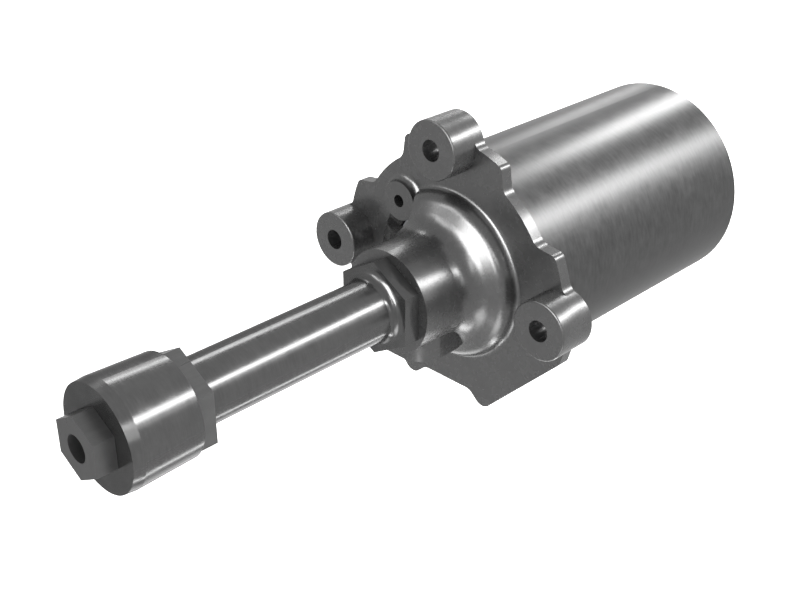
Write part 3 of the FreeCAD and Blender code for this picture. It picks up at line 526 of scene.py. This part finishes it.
class CYLINDER_OT_studio(bpy.types.Operator):
    """Floor, room light, soft lamps and camera"""
    bl_idname = "cylinder.studio"
    bl_label = "Studio"

    def turn(self, back, side):
        """Turn of a lamp whose back points one way and whose long side runs as near to the other."""
        back = back.normalized()
        side = (side - back * side.dot(back)).normalized()
        return Matrix((side, back.cross(side), back)).transposed().to_euler()

    def softbox(self, name, centre, target, width, height, radiance, side=(1, 0, 0)):
        """Rectangular lamp that faces a point; radiance 1 shows as white in a mirror."""
        data = bpy.data.lights.new(name, "AREA")
        data.shape = "RECTANGLE"
        data.size = width
        data.size_y = height
        data.energy = radiance * math.pi * width * height * bpy.context.scene.cylinder_stage.lamp
        lamp = bpy.data.objects.new(name, data)
        lamp.location = centre
        lamp.rotation_euler = self.turn(Vector(centre) - Vector(target), Vector(side))
        SCENE.collection.objects.link(lamp)
        return lamp

    def strip(self, name, start, end, width, radiance, distance=1.6):
        """Long lamp between two directions, each an azimuth from +X and an elevation in degrees."""
        ends = []
        for azimuth, elevation in (start, end):
            turned = Euler((0, -math.radians(elevation), math.radians(azimuth)))
            ends.append(distance * (turned.to_matrix() @ Vector((1, 0, 0))))
        middle = (ends[0] + ends[1]) / 2
        along = ends[1] - ends[0]
        return self.softbox(name, middle, (0, 0, 0), along.length, width, radiance, along)

    def seen_rays(self, tree, with_camera):
        """1 for rays that show or mirror the stage, 0 for those that light the object."""
        rays = add_node(tree, "ShaderNodeLightPath")
        kinds = ["Is Transmission Ray"]
        if with_camera:
            kinds.append("Is Camera Ray")
        seen = (rays, "Is Glossy Ray")
        for kind in kinds:
            join = add_node(tree, "ShaderNodeMath", {"operation": "MAXIMUM"}, {0: seen, 1: (rays, kind)})
            seen = (join, "Value")
        return seen

    def floor(self, s):
        """Pale floor that mirrors as plain white in metal and keeps the object's soft shadow."""
        z = CAD_BOX[0].z - s.floor_drop
        reach = s.floor_reach
        corners = [(-reach, -reach, z), (reach, -reach, z), (reach, reach, z), (-reach, reach, z)]
        mesh = bpy.data.meshes.new("floor")
        mesh.from_pydata(corners, [], [(0, 1, 2, 3)])
        piece = bpy.data.objects.new("floor", mesh)
        SCENE.collection.objects.link(piece)
        material, tree = new_material("pale_floor")
        paint = add_node(tree, "ShaderNodeBsdfDiffuse")
        paint.inputs["Color"].default_value = (*s.floor_colour, 1)
        lift = add_node(tree, "ShaderNodeEmission")
        lift.inputs["Strength"].default_value = s.floor_glow
        lifted = add_node(tree, "ShaderNodeAddShader", links={0: (paint, "BSDF"), 1: (lift, "Emission")})
        white = add_node(tree, "ShaderNodeEmission")
        white.inputs["Strength"].default_value = 1.0
        pick = add_node(tree, "ShaderNodeMixShader", links={0: self.seen_rays(tree, False),
                                                            1: (lifted, "Shader"), 2: (white, "Emission")})
        add_node(tree, "ShaderNodeOutputMaterial", links={"Surface": (pick, "Shader")})
        mesh.materials.append(material)

    def room(self, s):
        """White room to the eye and in metal, dimmer as a light."""
        world = bpy.data.worlds.new("room")
        world.use_nodes = True
        tree = world.node_tree
        tree.nodes.clear()
        white = add_node(tree, "ShaderNodeBackground", Strength=1.0)
        dim = add_node(tree, "ShaderNodeBackground", Strength=s.sky)
        for light in (white, dim):
            light.inputs["Color"].default_value = (1, 1, 1, 1)
        links = {0: self.seen_rays(tree, True), 1: (dim, "Background"), 2: (white, "Background")}
        pick = add_node(tree, "ShaderNodeMixShader", links=links)
        add_node(tree, "ShaderNodeOutputWorld", links={"Surface": (pick, "Shader")})
        SCENE.world = world

    def execute(self, context):
        s = context.scene.cylinder_stage
        self.floor(s)
        self.room(s)
        # Long strips beside the cylinder draw the crisp streaks along barrel, housing and chamber.
        self.strip("right_strip", start=(102, 33), end=(160, 25), width=0.24, radiance=22.0)
        self.strip("right_glow", start=(108, 29), end=(160, 22), width=0.65, radiance=2.0, distance=1.8)
        self.strip("left_strip", start=(-114, 42), end=(-142, 39), width=0.20, radiance=11.0)
        self.strip("low_left_strip", start=(-139, 22), end=(-147, 10), width=0.20, radiance=6.5)
        self.strip("left_glow", start=(-108, 40), end=(-136, 34), width=0.60, radiance=2.5, distance=1.8)
        self.strip("rear_strip", start=(-163, 27), end=(-172, 40), width=0.18, radiance=38.0, distance=1.5)
        # Big soft lamp in front: the broad blob on the bell's upper right.
        front = self.softbox("front_lamp", centre=(1.30, 0.05, 0.38), target=(0, 0.05, 0.38), width=1.0,
                             height=0.75, radiance=20.0, side=(0, 1, 0))
        # Strips beside the front lamp: the bell's smaller highlights, and streaks on the far side.
        beside = self.strip("front_strip", start=(28, 30), end=(46, 17), width=0.22, radiance=12.0)
        back = self.strip("back_strip", start=(-42, 14), end=(-26, 38), width=0.24, radiance=10.0)
        # These three only draw highlights, so the faces towards the outlet stay as dark as the rest.
        for lamp in (front, beside, back):
            lamp.visible_diffuse = False
        # Card beside the outlet: the bright band on the chamfer of the housing's nose.
        self.strip("nose_card", start=(97, 30), end=(101, 8), width=0.18, radiance=5.0)
        # Low lamps under the barrel: the thin streak and the glow on its underside.
        self.softbox("low_strip", centre=(-0.02, 0.056, -0.21), target=(0.09, 0, 0), width=0.19,
                     height=0.026, radiance=15.0)
        self.softbox("low_glow", centre=(-0.06, -0.06, -0.25), target=(0.08, 0, 0), width=0.24,
                     height=0.12, radiance=3.2)
        # Card in front of the bell's underside: the soft patch above the right lower ear.
        self.softbox("bell_card", centre=(0.19, 0.133, -0.276), target=(0, 0.02, 0), width=0.17,
                     height=0.15, radiance=6.0)

        camera = bpy.data.cameras.new("camera")
        camera.lens = s.lens
        camera.sensor_width = 36
        view = bpy.data.objects.new("camera", camera)
        view.location = CAMERA_PLACE
        view.rotation_euler = Euler((math.radians(90 - CAMERA_TILT), 0, math.radians(90 + CAMERA_AZIMUTH)))
        SCENE.collection.objects.link(view)
        SCENE.camera = view
        SCENE.view_settings.view_transform = "Standard"
        return {"FINISHED"}


class VIEW3D_PT_cylinder(bpy.types.Panel):
    """Sidebar panel with the steps in order"""
    bl_idname = "VIEW3D_PT_cylinder"
    bl_label = "Air-over-hydraulic cylinder"
    bl_space_type = "VIEW_3D"
    bl_region_type = "UI"
    bl_category = "Cylinder"

    def draw(self, context):
        for step in STEPS:
            self.layout.operator(step.bl_idname)


GROUPS = {
    "cylinder_finish": FinishSettings,
    "cylinder_inside": InsideSettings,
    "cylinder_weld": WeldSettings,
    "cylinder_threads": ThreadSettings,
    "cylinder_springs": SpringSettings,
    "cylinder_stage": StageSettings,
}
STEPS = (
    CYLINDER_OT_cast_cover,
    CYLINDER_OT_air_chamber,
    CYLINDER_OT_weld_bead,
    CYLINDER_OT_port_threads,
    CYLINDER_OT_hydraulic_side,
    CYLINDER_OT_inside_pieces,
    CYLINDER_OT_springs,
    CYLINDER_OT_studio,
)


def register():
    """Registers settings, steps and panel."""
    for name, group in GROUPS.items():
        bpy.utils.register_class(group)
        setattr(bpy.types.Scene, name, PointerProperty(type=group))
    for step in STEPS:
        bpy.utils.register_class(step)
    bpy.utils.register_class(VIEW3D_PT_cylinder)


def unregister():
    """Takes everything out again."""
    bpy.utils.unregister_class(VIEW3D_PT_cylinder)
    for step in reversed(STEPS):
        bpy.utils.unregister_class(step)
    for name, group in GROUPS.items():
        delattr(bpy.types.Scene, name)
        bpy.utils.unregister_class(group)


def main():
    """Builds the whole scene."""
    register()
    bpy.ops.cylinder.cast_cover()
    bpy.ops.cylinder.air_chamber()
    bpy.ops.cylinder.weld_bead()
    bpy.ops.cylinder.port_threads()
    bpy.ops.cylinder.hydraulic_side()
    bpy.ops.cylinder.inside_pieces()
    bpy.ops.cylinder.springs()
    bpy.ops.cylinder.studio()


if __name__ == "__main__":
    main()
